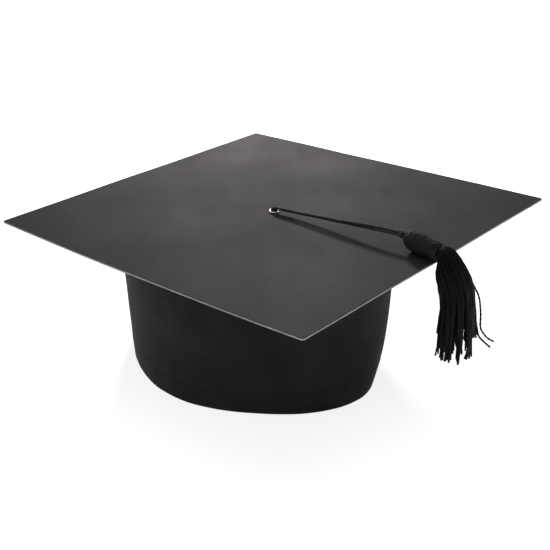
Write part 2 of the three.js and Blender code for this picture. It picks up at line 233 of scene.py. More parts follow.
class Paint:
    """A procedural material being put together from nodes."""

    def __init__(self, name, roughness=0.5, specular=0.5, metallic=0.0):
        self.material = bpy.data.materials.new(name)
        self.material.use_nodes = True
        self.tree = self.material.node_tree
        self.shader = self.tree.nodes["Principled BSDF"]
        self.shader.inputs["Roughness"].default_value = roughness
        self.shader.inputs["Specular IOR Level"].default_value = specular
        self.shader.inputs["Metallic"].default_value = metallic
        self.places = self.tree.nodes.new("ShaderNodeTexCoord")

    def link(self, output, target):
        self.tree.links.new(output, target)

    def node(self, kind, **inputs):
        made = self.tree.nodes.new(kind)
        for key, value in inputs.items():
            socket = made.inputs[key.replace("_", " ")]
            if isinstance(value, bpy.types.NodeSocket):
                self.link(value, socket)
            else:
                socket.default_value = value
        return made

    def math(self, operation, first, second=0.0):
        made = self.tree.nodes.new("ShaderNodeMath")
        made.operation = operation
        for socket, value in zip(made.inputs, (first, second)):
            if isinstance(value, bpy.types.NodeSocket):
                self.link(value, socket)
            else:
                socket.default_value = value
        return made.outputs[0]

    def noise(self, size_mm, detail=3.0, coords="Object", stretch=(1, 1, 1)):
        """Noise whose grain is about size_mm, from 0 to 1."""
        scale = 1 / (size_mm * MM)
        mapping = self.node("ShaderNodeMapping", Vector=self.places.outputs[coords])
        mapping.inputs["Scale"].default_value = [scale * s for s in stretch]
        texture = self.node("ShaderNodeTexNoise", Vector=mapping.outputs[0], Scale=1.0, Detail=detail)
        return texture.outputs["Fac"]

    def waves(self, pitch_mm, across, coords="UV"):
        """Even ridges across a direction, from -1 to 1."""
        direction = Vector(across).normalized() * (TAU / (pitch_mm * MM))
        dot = self.tree.nodes.new("ShaderNodeVectorMath")
        dot.operation = "DOT_PRODUCT"
        self.link(self.places.outputs[coords], dot.inputs[0])
        dot.inputs[1].default_value = direction
        return self.math("SINE", dot.outputs["Value"])

    def ramp(self, value, *stops):
        made = self.node("ShaderNodeValToRGB", Fac=value)
        elements = made.color_ramp.elements
        while len(elements) < len(stops):
            elements.new(0.5)
        for element, (position, color) in zip(elements, stops):
            element.position = position
            element.color = (*color, 1)
        return made.outputs[0]

    def spread(self, value, low, high, from_low=0.0, from_high=1.0):
        made = self.node("ShaderNodeMapRange", Value=value)
        made.inputs["From Min"].default_value = from_low
        made.inputs["From Max"].default_value = from_high
        made.inputs["To Min"].default_value = low
        made.inputs["To Max"].default_value = high
        return made.outputs[0]

    def bump(self, height, depth_mm, strength=1.0):
        made = self.node("ShaderNodeBump", Height=height)
        made.inputs["Strength"].default_value = strength
        made.inputs["Distance"].default_value = depth_mm * MM
        self.link(made.outputs[0], self.shader.inputs["Normal"])

    def set(self, socket, value):
        if isinstance(value, bpy.types.NodeSocket):
            self.link(value, self.shader.inputs[socket])
        else:
            self.shader.inputs[socket].default_value = value


def grey(level, warm=0.0):
    return (level * (1 + warm), level, level * (1 - warm))


def satin_paper(name):
    """Black coated paper: a dull sheen, cloudy patches, faint scuffs and a fibrous tooth."""
    paint = Paint(name, specular=0.24)
    clouds = paint.noise(70, 4)
    scuffs = paint.noise(16, 5, stretch=(1, 0.35, 1))
    tooth = paint.noise(0.35, 2)
    tone = paint.math("ADD", paint.math("MULTIPLY", clouds, 0.7), paint.math("MULTIPLY", scuffs, 0.3))
    paint.set("Base Color", paint.ramp(tone, (0.3, (0.016, 0.0148, 0.0166)), (0.7, (0.026, 0.0236, 0.027))))
    paint.set("Roughness", paint.spread(tone, 0.78, 0.7, 0.3, 0.7))
    height = paint.math("ADD", paint.math("MULTIPLY", tooth, 0.25), clouds)
    paint.bump(height, 0.5, 0.25)
    return paint.material


def cut_pasteboard():
    """The greyish white cut edge, with the layers and fibres that the knife leaves."""
    paint = Paint("cut_pasteboard", roughness=0.85, specular=0.2)
    layers = paint.noise(0.3, 3, stretch=(0.08, 0.08, 1))
    smudges = paint.noise(9, 3)
    tone = paint.math("MULTIPLY", layers, smudges)
    paint.set("Base Color", paint.ramp(tone, (0.08, grey(0.22, 0.02)), (0.34, grey(0.42, 0.01))))
    paint.bump(layers, 0.15, 0.6)
    return paint.material


def nickel():
    paint = Paint("bright_nickel", roughness=0.2, metallic=1.0)
    scratches = paint.noise(0.6, 4, stretch=(1, 1, 0.2))
    paint.set("Base Color", paint.ramp(scratches, (0.3, grey(0.62, 0.01)), (0.7, grey(0.82, 0.01))))
    paint.set("Roughness", paint.spread(scratches, 0.16, 0.32))
    paint.bump(scratches, 0.02, 0.4)
    return paint.material


def twill(name, pitch=1.25, level=0.0078):
    """Black twill: steep diagonal ribs of fine crossing threads, with a little fuzz; the low places of the
    weave are painted darker, as painted shade in its grooves.
    """
    paint = Paint(name, roughness=0.82, specular=0.16)
    ribs = paint.waves(pitch, (0.74, -0.67, 0))
    threads = paint.waves(pitch * 0.42, (0.2, 1, 0))
    fuzz = paint.noise(0.5, 3)
    patches = paint.noise(30, 3)
    height = paint.math("ADD", ribs, paint.math("MULTIPLY", threads, 0.35))
    height = paint.math("ADD", height, paint.math("MULTIPLY", fuzz, 0.8))
    # The colour follows the weave's height: painted shade in the grooves, over patches of the cloth's own
    # uneven tone.
    shade = paint.math("ADD", paint.math("MULTIPLY", height, 0.2), patches)
    dark, light = (level * 0.6, level * 0.6, level * 0.7), (level * 2.2, level * 2.1, level * 2.5)
    paint.set("Base Color", paint.ramp(shade, (0.25, dark), (0.9, light)))
    paint.bump(height, 0.12, 0.8)
    paint.set("Sheen Weight", 0.06)
    paint.set("Sheen Roughness", 0.35)
    return paint.material


def woven(name, dark, light, pitch_across, pitch_along, roughness=0.85, depth=0.1):
    """A plain ribbed weave along the UV axes, for tape, elastic and the label; the low places of the weave
    are painted darker, as painted shade between its threads.
    """
    paint = Paint(name, roughness=roughness, specular=0.2)
    weft = paint.waves(pitch_across, (1, 0, 0))
    warp = paint.waves(pitch_along, (0, 1, 0))
    height = paint.math("ADD", paint.math("MULTIPLY", weft, warp), paint.noise(0.6, 3))
    # The colour follows the weave's height: painted shade between the threads, over patches of the cloth's
    # own uneven tone.
    shade = paint.math("ADD", paint.math("MULTIPLY", height, 0.25), paint.noise(12, 3))
    paint.set("Base Color", paint.ramp(shade, (0.25, dark), (0.9, light)))
    paint.bump(height, depth, 0.8)
    return paint.material


def rayon(name, level=0.003, roughness=0.6):
    """Black rayon yarn: fine fibres and a dull silky sheen."""
    paint = Paint(name, roughness=roughness, specular=0.1)
    fibres = paint.noise(0.28, 3)
    patches = paint.noise(7, 2)
    shade = paint.math("ADD", paint.math("MULTIPLY", fibres, 0.5), paint.math("MULTIPLY", patches, 0.5))
    dark, light = (level * 0.6, level * 0.58, level * 0.65), (level * 1.9, level * 1.8, level * 2.1)
    paint.set("Base Color", paint.ramp(shade, (0.3, dark), (0.75, light)))
    paint.bump(fibres, 0.1, 0.7)
    paint.set("Sheen Weight", 0.03)
    paint.set("Sheen Roughness", 0.4)
    return paint.material


def dried_glue():
    paint = Paint("dried_glue", roughness=0.35, specular=0.5)
    blobs = paint.noise(6, 3)
    paint.set("Base Color", paint.ramp(blobs, (0.3, (0.42, 0.37, 0.26)), (0.75, (0.62, 0.58, 0.46))))
    paint.set("Roughness", paint.spread(blobs, 0.3, 0.55))
    paint.bump(blobs, 0.8, 0.6)
    return paint.material


# ---- Mesh building --------------------------------------------------------------------


def add_piece(name, points, faces, material, body, nodes=(), uvs=None, sharp=None):
    """Makes a mesh from points in millimetres, puts it on the body it rides on and hides the CAD parts that
    it takes the place of.
    """
    mesh = bpy.data.meshes.new(name)
    mesh.from_pydata([Vector(p) * MM for p in points], [], faces)
    if uvs:
        layer = mesh.uv_layers.new(name="UVMap")
        for loop in mesh.loops:
            u, v = uvs[loop.vertex_index]
            layer.data[loop.index].uv = (u * MM, v * MM)
    mesh.polygons.foreach_set("use_smooth", [True] * len(mesh.polygons))
    if sharp:
        mesh.set_sharp_from_angle(angle=math.radians(sharp))
    mesh.materials.append(material)
    mesh.update()
    piece = bpy.data.objects.new(name, mesh)
    bpy.context.scene.collection.objects.link(piece)
    if body:
        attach(piece, body)
    if nodes:
        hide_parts(*nodes)
    return piece


def grid_faces(columns, rows, first=0, flip=False, wrap=False):
    """Quads over a grid of points stored column by column."""
    faces = []
    for i in range(columns if wrap else columns - 1):
        here = first + i * rows
        there = first + ((i + 1) % columns) * rows
        for j in range(rows - 1):
            quad = (here + j, there + j, there + j + 1, here + j + 1)
            faces.append(quad[::-1] if flip else quad)
    return faces


def smooth_path(points, steps):
    """A Catmull-Rom curve through the points, with steps points to each span."""
    points = [Vector(p) for p in points]
    points = [points[0] * 2 - points[1], *points, points[-1] * 2 - points[-2]]
    path = []
    for a, b, c, d in zip(points, points[1:], points[2:], points[3:]):
        for i in range(steps):
            t = i / steps
            path.append(
                ((-a + 3 * b - 3 * c + d) * t**3 + (2 * a - 5 * b + 4 * c - d) * t**2 + (c - a) * t) / 2 + b
            )
    path.append(points[-2])
    return path


def even_path(path, step):
    """The same line with points about one step apart."""
    lengths = [0.0]
    for a, b in zip(path, path[1:]):
        lengths.append(lengths[-1] + (b - a).length)
    count = max(2, round(lengths[-1] / step))
    result = []
    span = 0
    for i in range(count + 1):
        target = lengths[-1] * i / count
        while span < len(path) - 2 and lengths[span + 1] < target:
            span += 1
        share = (target - lengths[span]) / max(lengths[span + 1] - lengths[span], 1e-9)
        result.append(path[span].lerp(path[span + 1], min(max(share, 0), 1)))
    return result


def path_frames(path, hint=Vector((0, 0, 1))):
    """Two directions across the path at each of its points, carried along without twist."""
    frames = []
    side = None
    for i, point in enumerate(path):
        along = (path[min(i + 1, len(path) - 1)] - path[max(i - 1, 0)]).normalized()
        if side is None:
            side = along.cross(hint)
            if side.length < 1e-3:
                side = along.cross(Vector((1, 0, 0)))
        side = (side - along * side.dot(along)).normalized()
        frames.append((side, side.cross(along)))
    return frames


def add_tube(points, faces, path, radius, sides=8, hint=Vector((0, 0, 1))):
    """Adds a closed tube to a mesh; radius is a number or a function of (step, angle)."""
    first = len(points)
    frames = path_frames(path, hint)
    for i, (place, (side, up)) in enumerate(zip(path, frames)):
        for j in range(sides):
            angle = TAU * j / sides
            size = radius(i, angle) if callable(radius) else radius
            points.append(place + side * (size * math.cos(angle)) + up * (size * math.sin(angle)))
    for i in range(len(path) - 1):
        for j in range(sides):
            k = (j + 1) % sides
            here, there = first + i * sides, first + (i + 1) * sides
            faces.append((here + j, here + k, there + k, there + j))
    last = first + (len(path) - 1) * sides
    faces.append(tuple(first + j for j in reversed(range(sides))))
    faces.append(tuple(last + j for j in range(sides)))


def from_route(point):
    """A point of the cord's own frame, in the cap's frame."""
    x, y, z = point
    cosine, sine = math.cos(CORD_DIRECTION), math.sin(CORD_DIRECTION)
    return Vector((x * cosine - y * sine, x * sine + y * cosine, BOARD_TOP + z)) + EYELET


def route_direction(x, y, z):
    return from_route((x, y, z)) - from_route((0, 0, 0))


# ---- Cord -----------------------------------------------------------------------------

LEG_RADIUS = 0.82
LEG_SPACING = 0.75
LEG_PARTING = 0.4
LEG_FIRST_TURN = 34
LEG_TURN = 84
PLY_PITCH = 3.4
PLY_DEPTH = 0.09


def ply_radius(step_mm, radius=LEG_RADIUS):
    """The section of a three-ply cord that turns as it goes along."""

    def size(i, angle):
        turn = TAU * i * step_mm / PLY_PITCH
        return radius * (1 - PLY_DEPTH + 2 * PLY_DEPTH * abs(math.cos(1.5 * (angle - turn))))

    return size


def cord_legs(path):
    """Two lines on either side of the path, which part a little and then turn a quarter round it."""
    legs = ([], [])
    frames = path_frames(path)
    for i, (place, (side, up)) in enumerate(zip(path, frames)):
        share = i / (len(path) - 1)
        turned = min(max((share - 0.5) / 0.4, 0.0), 1.0)
        angle = math.radians(LEG_FIRST_TURN + LEG_TURN * turned * turned * (3 - 2 * turned))
        spacing = LEG_SPACING + LEG_PARTING * math.sin(math.pi * min(share / 0.75, 1.0))
        across = (side * math.cos(angle) + up * math.sin(angle)) * spacing
        legs[0].append(place + across)
        legs[1].append(place - across)
    return legs


def make_cord(material):
    step = 0.3
    route = [from_route(p) for p in (*CORD_ROUTE, KNOT_PLACE, HEAD_START)]
    path = even_path(smooth_path(route, 8), step)
    points, faces = [], []
    for leg in cord_legs(path):
        add_tube(points, faces, leg, ply_radius(step), sides=12)
    nodes = ["cord_run"]
    piece = add_piece("tassel_cord", points, faces, material, None, nodes)
    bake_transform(piece)
    return piece, path


def make_cord_in_eyelet(material):
    low = Vector((0, 0, BOARD_BOTTOM - 3.2)) + EYELET
    high = Vector((0, 0, BOARD_TOP + 0.4)) + EYELET
    path = even_path([low, high, from_route((-0.4, 0, 1.1)), from_route((0.2, 0, 1.6))], 0.3)
    side = route_direction(0, LEG_SPACING, 0)
    points, faces = [], []
    for sign in (1, -1):
        leg = [p + side * sign for p in path]
        add_tube(points, faces, leg, ply_radius(0.3), sides=12)
    nodes = ["cord_through_eyelet"]
    return add_piece("cord_in_eyelet", points, faces, material, "cord_anchor", nodes)


def knot_path(centre, size, axis):
    """A trefoil, the shape of an overhand knot pulled tight."""
    turn = Vector((0, 0, 1)).rotation_difference(Vector(axis))
    path = []
    for i in range(97):
        t = TAU * i / 96
        point = Vector(
            (
                math.sin(t) + 2 * math.sin(2 * t),
                math.cos(t) - 2 * math.cos(2 * t),
                -1.15 * math.sin(3 * t),
            )
        )
        path.append(centre + turn @ (point * size))
    return path


def make_knot(name, centre, outer, strand, axis, body, node, material):
    points, faces = [], []
    path = even_path(knot_path(centre, (outer - strand) / 3, axis), 0.3)
    add_tube(points, faces, path, ply_radius(0.3, radius=strand), sides=12)
    return add_piece(name, points, faces, material, body, [node])


# ---- Tassel ---------------------------------------------------------------------------

HEAD_RINGS = 70
HEAD_GROOVES = 34
GROOVE_DEPTH = 0.045
BINDING_TURNS, BINDING_THREAD = 7, 0.36
SKIRT_STRANDS = 210
SKIRT_CLUMPS = 14
STRAND_RADIUS = 0.58
SKIRT_LENGTH = 60
# How much wider the strands lie than the stations say: near their ends, and on each side.
SKIRT_FLARE = 0.35
SPREAD_TO_STRAYS, SPREAD_AWAY = 0.2, 0.11
STRAND_STEPS = 26
GOLDEN_ANGLE = 2.39996


def profile_radius(profile, along):
    for (a, first), (b, second) in zip(profile, profile[1:]):
        if along <= b:
            share = (along - a) / (b - a)
            share = share * share * (3 - 2 * share)
            return first + (second - first) * share
    return profile[-1][1]


def make_head(material):
    """The yarns of the head, laid side by side over its bulb and down to the neck."""
    start, end = from_route(HEAD_START), from_route(NECK_END)
    length = (end - start).length
    axis = (end - start).normalized()
    side = axis.cross(Vector((0, 0, 1))).normalized()
    up = side.cross(axis)
    rings, sides = HEAD_RINGS, HEAD_GROOVES * 6
    points = []
    for i in range(rings + 1):
        along = length * (i / rings) ** 1.15
        radius = profile_radius(HEAD_PROFILE, along)
        lean = 0.5 * math.sin(along / length * math.pi)
        for j in range(sides):
            angle = TAU * j / sides
            yarn = HEAD_GROOVES * (angle + 0.035 * along) / 2
            waver = 0.16 * noise.noise(Vector((math.cos(angle) * 3, math.sin(angle) * 3, along * 0.2)))
            groove = 1 - GROOVE_DEPTH * (1 - abs(math.sin(yarn))) ** 2 + waver * 0.25
            size = radius * groove
            across = size * math.cos(angle)
            above = size * math.sin(angle) - lean
            points.append(start + axis * along + side * across + up * above)
    faces = []
    for i in range(rings):
        for j in range(sides):
            k = (j + 1) % sides
            faces.append((i * sides + j, i * sides + k, (i + 1) * sides + k, (i + 1) * sides + j))
    faces.append(tuple(reversed(range(sides))))
    faces.append(tuple(rings * sides + j for j in range(sides)))
    return add_piece("wound_head", points, faces, material, "tassel", ["tassel_head"])


def make_binding(material):
    """Turns of thread round the neck."""
    start, end = from_route(HEAD_START), from_route(NECK_END)
    axis = (end - start).normalized()
    side = axis.cross(Vector((0, 0, 1))).normalized()
    up = side.cross(axis)
    turns, thread = BINDING_TURNS, BINDING_THREAD
    first, last = (end - start).length - 6.0, (end - start).length - 1.2
    path = []
    for i in range(turns * 40 + 1):
        share = i / (turns * 40)
        angle = TAU * turns * share
        reach = NECK_RADIUS + 0.25 + 0.12 * math.sin(share * math.pi)
        along = first + (last - first) * share
        across = reach * math.cos(angle)
        above = reach * math.sin(angle)
        path.append(start + axis * along + side * across + up * above)
    points, faces = [], []
    add_tube(points, faces, path, thread, sides=8)
    return add_piece("neck_thread", points, faces, material, "tassel", ["neck_binding"])


def station_at(share):
    """The skirt's numbers at a share of its length, in between its stations."""
    place = share * (len(SKIRT_STATIONS) - 1)
    i = min(int(place), len(SKIRT_STATIONS) - 2)
    t = place - i
    known = [SKIRT_STATIONS[min(max(i + k, 0), len(SKIRT_STATIONS) - 1)] for k in (-1, 0, 1, 2)]
    return [
        b + (c - a) * t / 2 + (2 * a - 5 * b + 4 * c - d) * t * t / 2 + (3 * b - a - 3 * c + d) * t**3 / 2
        for a, b, c, d in zip(*known)
    ]


def clump_places(rng):
    """Where the clumps of strands have gathered, as places in the bundle's section."""
    places = []
    for k in range(SKIRT_CLUMPS):
        reach = math.sqrt((k + 0.5) / SKIRT_CLUMPS) * 0.92
        angle = k * GOLDEN_ANGLE + rng.uniform(-0.2, 0.2)
        places.append(Vector((reach * math.cos(angle), reach * math.sin(angle))))
    return places


def strand_path(rng, i, clumps):
    """One strand: its place in the bundle, its own waver, and where it ends."""
    reach = math.sqrt((i + 0.5) / SKIRT_STRANDS) * 0.95
    own = Vector((reach * math.cos(i * GOLDEN_ANGLE), reach * math.sin(i * GOLDEN_ANGLE)))
    clump = min(clumps, key=lambda place: (place - own).length)
    seed = rng.uniform(0, 100)
    waver = rng.uniform(0.5, 1.5)
    end = rng.uniform(0.93, 1.06) - (0.12 if rng.random() < 0.15 else 0) - 0.13 * max(0.0, own.y)
    kick = rng.uniform(2, 7) if own.y > 0.5 and rng.random() < 0.5 else rng.uniform(-1.8, 1.8)
    bow = rng.uniform(0.5, 1.6) if abs(own.y) > 0.72 and rng.random() < 0.4 else 0
    start = (118.4 + rng.uniform(-0.6, 0.6), -5.3 + own.y * 3, 5.6 + own.x * 3)
    path = [from_route(start)]
    for k in range(STRAND_STEPS):
        share = end * k / (STRAND_STEPS - 1)
        x, y, z, tilt, wide, deep = station_at(min(share, 1.0))
        z -= max(0.0, share - 1.0) * SKIRT_LENGTH
        tilt = math.radians(tilt)
        gathered = own.lerp(clump, 0.62 * min(1.0, max(0.0, share - 0.4) / 0.5))
        across = deep * gathered.x + waver * share * noise.noise(Vector((seed, share * 3.2, 0)))
        along = wide * gathered.y + waver * share * 1.3 * noise.noise(Vector((seed, share * 3.2, 9)))
        along *= 1 + SKIRT_FLARE * max(0.0, share - 0.6)
        spread = SPREAD_TO_STRAYS if own.y > 0 else SPREAD_AWAY
        along *= 1 + spread * min(max((share - 0.3) / 0.3, 0.0), 1.0)
        along += kick * max(0.0, (share - 0.76) / 0.24) ** 2
        along += math.copysign(bow, own.y) * math.sin(math.pi * min(max((share - 0.5) / 0.35, 0.0), 1.0))
        path.append(from_route((x + across * math.cos(tilt), y + along, z + across * math.sin(tilt))))
    return path


def yarn_radius(rng):
    size = STRAND_RADIUS * rng.uniform(0.85, 1.15)
    turn = rng.uniform(0, TAU)
    return lambda i, angle: size * (1 + 0.16 * math.cos(2 * (angle - turn - i * 0.9)))


def make_skirt(material):
    rng = random.Random(7)
    clumps = clump_places(rng)
    points, faces = [], []
    for i in range(SKIRT_STRANDS):
        add_tube(points, faces, strand_path(rng, i, clumps), yarn_radius(rng), sides=6)
    piece = add_piece("skirt_strands", points, faces, material, None, ["tassel_skirt"])
    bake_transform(piece)
    return piece


def make_stray_strands(material):
    rng = random.Random(3)
    for name, route in STRAY_ROUTES.items():
        path = even_path(smooth_path([from_route(p) for p in route], 6), 0.8)
        points, faces = [], []
        add_tube(points, faces, path, yarn_radius(rng), sides=8)
        add_piece(name + "_yarn", points, faces, material, "skirt", [name])


# ---- Board ----------------------------------------------------------------------------

FRONT_EDGE_SAG = 1.5
BOARD_RIPPLE = 0.35
EYELET_DIMPLE = 0.12


def board_warp(x, y):
    """How far the pasteboard has bowed at a place: the front left edge sags a little."""
    s = (x + y) / math.sqrt(2) / BOARD_HALF
    t = (x - y) / math.sqrt(2) / BOARD_HALF
    sag = -FRONT_EDGE_SAG * max(0.0, (1 - s) / 2) ** 4 * max(0.0, 1 - t * t)
    ripple = BOARD_RIPPLE * noise.noise(Vector((x / 70, y / 70, 3.1))) * min(1.0, (s * s + t * t))
    away = math.hypot(x - EYELET.x, y - EYELET.y)
    dimple = -EYELET_DIMPLE * math.exp(-((away / 9) ** 2))
    return sag + ripple + dimple


def board_outline():
    """Points round the square board with its small round corners, counterclockwise."""
    straight = BOARD_HALF - BOARD_CORNER_RADIUS
    outline = []
    for corner in range(4):
        turn = Matrix.Rotation(math.radians(90 * corner + 45), 2)
        for i in range(60):
            along = -straight + 2 * straight * i / 60
            outline.append(turn @ Vector((BOARD_HALF, along)))
        for i in range(6):
            angle = math.pi / 2 * i / 6
            bend = Vector((math.cos(angle), math.sin(angle))) * BOARD_CORNER_RADIUS
            outline.append(turn @ (Vector((straight, straight)) + bend))
    return outline


def board_layer(name, low, high, material, node, rounding):
    """A layer of the board, with a hole for the eyelet and softly rounded cut edges."""
    outline = board_outline()
    rings = 26
    points = []
    centre = Vector((EYELET.x, EYELET.y))
    for edge in outline:
        away = edge - centre
        direction = away.normalized()
        hole = centre + direction * EYELET_HOLE
        surface = [hole.lerp(edge - direction * rounding, (k / (rings - 1)) ** 1.3) for k in range(rings)]
        surface.append(edge)
        for flat in surface:
            drop = rounding * 0.6 if flat is surface[-1] else 0.0
            points.append(Vector((flat.x, flat.y, high - drop + board_warp(flat.x, flat.y))))
        for flat in reversed(surface):
            drop = rounding * 0.6 if flat is surface[-1] else 0.0
            points.append(Vector((flat.x, flat.y, low + drop + board_warp(flat.x, flat.y))))
    rows = 2 * (rings + 1)
    columns = len(outline)
    faces = grid_faces(columns, rows, wrap=True, flip=True)
    for i in range(columns):
        here, there = i * rows, ((i + 1) % columns) * rows
        faces.append((here, there, there + rows - 1, here + rows - 1))
    return add_piece(name, points, faces, material, "cap", [node], sharp=25)


def make_board():
    paper = satin_paper("satin_paper")
    board_layer("top_sheet", CORE_TOP, BOARD_TOP, paper, "board_top_paper", 0.12)
    board_layer("white_core", CORE_BOTTOM, CORE_TOP, cut_pasteboard(), "board_core", 0.05)
    board_layer("bottom_sheet", BOARD_BOTTOM, CORE_BOTTOM, paper, "board_bottom_paper", 0.12)


def lathe(name, profile, material, body, node, segments=96):
    """A turned piece about the eyelet's axis, from a closed profile of (radius, height)."""
    points = []
    for i in range(segments):
        angle = TAU * i / segments
        points.extend(
            Vector((radius * math.cos(angle), radius * math.sin(angle), height)) + EYELET
            for radius, height in profile
        )
    rows = len(profile)
    faces = []
    for i in range(segments):
        here, there = i * rows, ((i + 1) % segments) * rows
        for j in range(rows):
            k = (j + 1) % rows
            faces.append((here + j, there + j, there + k, here + k))
    return add_piece(name, points, faces, material, body, [node])


def arc(centre, radius_x, radius_z, first, last, count):
    """Points of an elliptical arc in a turned profile."""
    found = []
    for i in range(count + 1):
        angle = math.radians(first + (last - first) * i / count)
        found.append((centre[0] + radius_x * math.cos(angle), centre[1] + radius_z * math.sin(angle)))
    return found


def make_eyelet(material):
    """The flange is rolled over the board, and the barrel's lower end over the washer."""
    wall = EYELET_BARREL - EYELET_BORE
    crown = (EYELET_BORE + EYELET_FLANGE) / 2
    washer_low = BOARD_BOTTOM - WASHER_THICKNESS
    profile = arc((crown, BOARD_TOP), EYELET_FLANGE - crown, 0.9, 180, 0, 14)
    profile += [(EYELET_BARREL + 0.1, BOARD_TOP - 0.02), (EYELET_BARREL, BOARD_TOP - 0.4)]
    profile += [(EYELET_BARREL, washer_low - 0.4)]
    profile += arc((crown, washer_low - 0.4), EYELET_FLANGE - crown, 0.7, 0, -180, 10)
    profile += [(EYELET_BORE, washer_low), (EYELET_BORE, CORE_TOP)]
    lathe("rolled_eyelet", profile[::-1], material, "cap", "eyelet")
    inner = EYELET_BARREL + GAP
    middle = (washer_low + BOARD_BOTTOM) / 2
    ring = [(inner, BOARD_BOTTOM)]
    ring += arc((WASHER_RADIUS - wall, middle), wall, WASHER_THICKNESS / 2, 90, -90, 6)
    ring += [(inner, washer_low)]
    lathe("domed_washer", ring[::-1], material, "cap", "eyelet_washer")


# ---- Skull cap ------------------------------------------------------------------------


def outline_at(depth):
    """The outline's numbers at a depth, on the quadratic through the three levels."""
    values = [0.0] * 6
    for i, level in enumerate(OUTLINE_LEVELS):
        weight = 1.0
        for j, other in enumerate(OUTLINE_LEVELS):
            if i != j:
                weight *= (depth - other[0]) / (level[0] - other[0])
        values = [v + weight * n for v, n in zip(values, level[1:])]
    return values


def outline_point(outline, degrees):
    x, y, a, b, turn, pinch = outline
    turn = math.radians(turn)
    own = math.radians(degrees) - turn
    draw = 1 - pinch * (1 - math.cos(4 * own)) / 2
    across, along = a * draw * math.cos(own), b * draw * math.sin(own)
    return Vector(
        (
            x + across * math.cos(turn) - along * math.sin(turn),
            y + across * math.sin(turn) + along * math.cos(turn),
        )
    )


def seam_pull(degrees, from_seam_width=1.6):
    """How far a seam draws the cloth in, at an angle round the cap."""
    pull = 0.0
    for seam in (RIGHT_SEAM, BACK_SEAM, LEFT_SEAM):
        away = (degrees - seam + 180) % 360 - 180
        pull += math.exp(-((away / from_seam_width) ** 2))
    return pull


def drape(degrees, height):
    """How far the soft wall has sunk in from its even shape."""
    angle = math.radians(degrees)
    loose = min(1.0, (WALL_TOP - height) / 18)
    place = Vector((math.cos(angle) * 1.7, math.sin(angle) * 1.7, height * 0.022))
    sunk = 0.9 * loose * noise.noise(place)
    sunk += 0.25 * loose * noise.noise(Vector((math.cos(angle) * 6, math.sin(angle) * 6, height * 0.06)))
    sunk += 0.45 * seam_pull(degrees) * min(1.0, loose + 0.3)
    behind = (degrees - RIGHT_SEAM) / (LEFT_SEAM - RIGHT_SEAM)
    if 0 < behind < 1:
        ends = math.sin(math.pi * behind) ** 0.5
        folds = math.cos(TAU * degrees / 5.2 + 1.5 * noise.noise(Vector((degrees * 0.2, 0, 5))))
        sunk += 0.75 * ends * folds * math.exp(-max(0.0, height - 3) / 16)
    return sunk


def wall_point(degrees, height, inward):
    outline = outline_at((WALL_TOP - height) / WALL_TOP)
    along = (outline_point(outline, degrees + 1) - outline_point(outline, degrees - 1)).normalized()
    point = outline_point(outline, degrees)
    sunk = inward + drape(degrees, height)
    return Vector((point.x - along.y * sunk, point.y + along.x * sunk, height))


def even_steps(low, high, step):
    count = max(1, round((high - low) / step))
    return [low + (high - low) * i / count for i in range(count + 1)]


def cloth_strip(name, angles, heights, layers, material, node, body="cap", spacing=(1.5, 2.4)):
    """A strip of cloth on the cap's wall, closed, with soft edges and a UV map in metres."""
    from_angle, to_angle = angles
    low, high = heights
    outer, inner = layers
    is_ring = to_angle - from_angle == 360
    columns = even_steps(from_angle, to_angle, spacing[0])
    if is_ring:
        columns.pop()
    edge = min(0.5, (high - low) / 6)
    rows = [low, low + edge, *even_steps(low + 2 * edge, high - 2 * edge, spacing[1]), high - edge, high]
    middle = (outer + inner) / 2
    mean_radius = 84
    points, uvs = [], []
    for degrees in columns:
        for side, order in ((outer, rows), (inner, rows[::-1])):
            for height in order:
                is_edge = height in (low, high)
                inward = middle + (side - middle) * (0.45 if is_edge else 1)
                points.append(wall_point(degrees, height, inward))
                uvs.append((math.radians(degrees) * mean_radius, height))
    count = len(rows) * 2
    faces = grid_faces(len(columns), count, wrap=is_ring)
    for i in range(len(columns) if is_ring else len(columns) - 1):
        here, there = i * count, ((i + 1) % len(columns)) * count
        faces.append((here, here + count - 1, there + count - 1, there))
    if not is_ring:
        last = (len(columns) - 1) * count
        half = len(rows)
        for j in range(half - 1):
            far = count - 1 - j
            faces.append((j, j + 1, far - 1, far))
            faces.append((last + far, last + far - 1, last + j + 1, last + j))
    return add_piece(name, points, faces, material, body, [node], uvs)


def make_panels():
    cloth = twill("black_twill")
    panels = (
        ("front_cloth", LEFT_SEAM, RIGHT_SEAM + 360, "front_panel", 0.345),
        ("back_right_cloth", RIGHT_SEAM, BACK_SEAM, "back_right_panel", 0.108),
        ("back_left_cloth", BACK_SEAM, LEFT_SEAM, "back_left_panel", 0.104),
    )
    for name, start, end, node, width in panels:
        angles = (start + 0.1, end - 0.1)
        piece = cloth_strip(name, angles, (0, WALL_TOP), (0, FABRIC), cloth, node)
    first = FABRIC + GAP
    second = first + FABRIC + GAP
    cloth_strip(
        "front_hem", (LEFT_SEAM + 1, RIGHT_SEAM + 359), (0, HEM_HEIGHT),
        (first, first + FABRIC), cloth, "hem_front",
    )
    cloth_strip(
        "elastic_casing", (RIGHT_SEAM + 1, LEFT_SEAM - 1), (0, HEM_HEIGHT),
        (second, second + FABRIC), cloth, "hem_back_casing",
    )
    return cloth


def make_tapes():
    tape = woven("seam_tape_weave", grey(0.005), grey(0.014), 1.1, 0.9)
    first = FABRIC + GAP
    layers = (first, first + TAPE)
    heights = (HEM_HEIGHT + 1, WALL_TOP - CROWN_TAPE_HEIGHT - 1)
    for side, seam in (("right", RIGHT_SEAM), ("back", BACK_SEAM), ("left", LEFT_SEAM)):
        angles = (seam - SEAM_TAPE_HALF_ANGLE, seam + SEAM_TAPE_HALF_ANGLE)
        node = "seam_tape_" + side
        cloth_strip(node + "_cloth", angles, heights, layers, tape, node, spacing=(0.5, 2.4))
    crown_heights = (WALL_TOP - CROWN_TAPE_HEIGHT, WALL_TOP - GAP)
    cloth_strip("crown_tape_cloth", (0, 360), crown_heights, layers, tape, "crown_seam_tape")


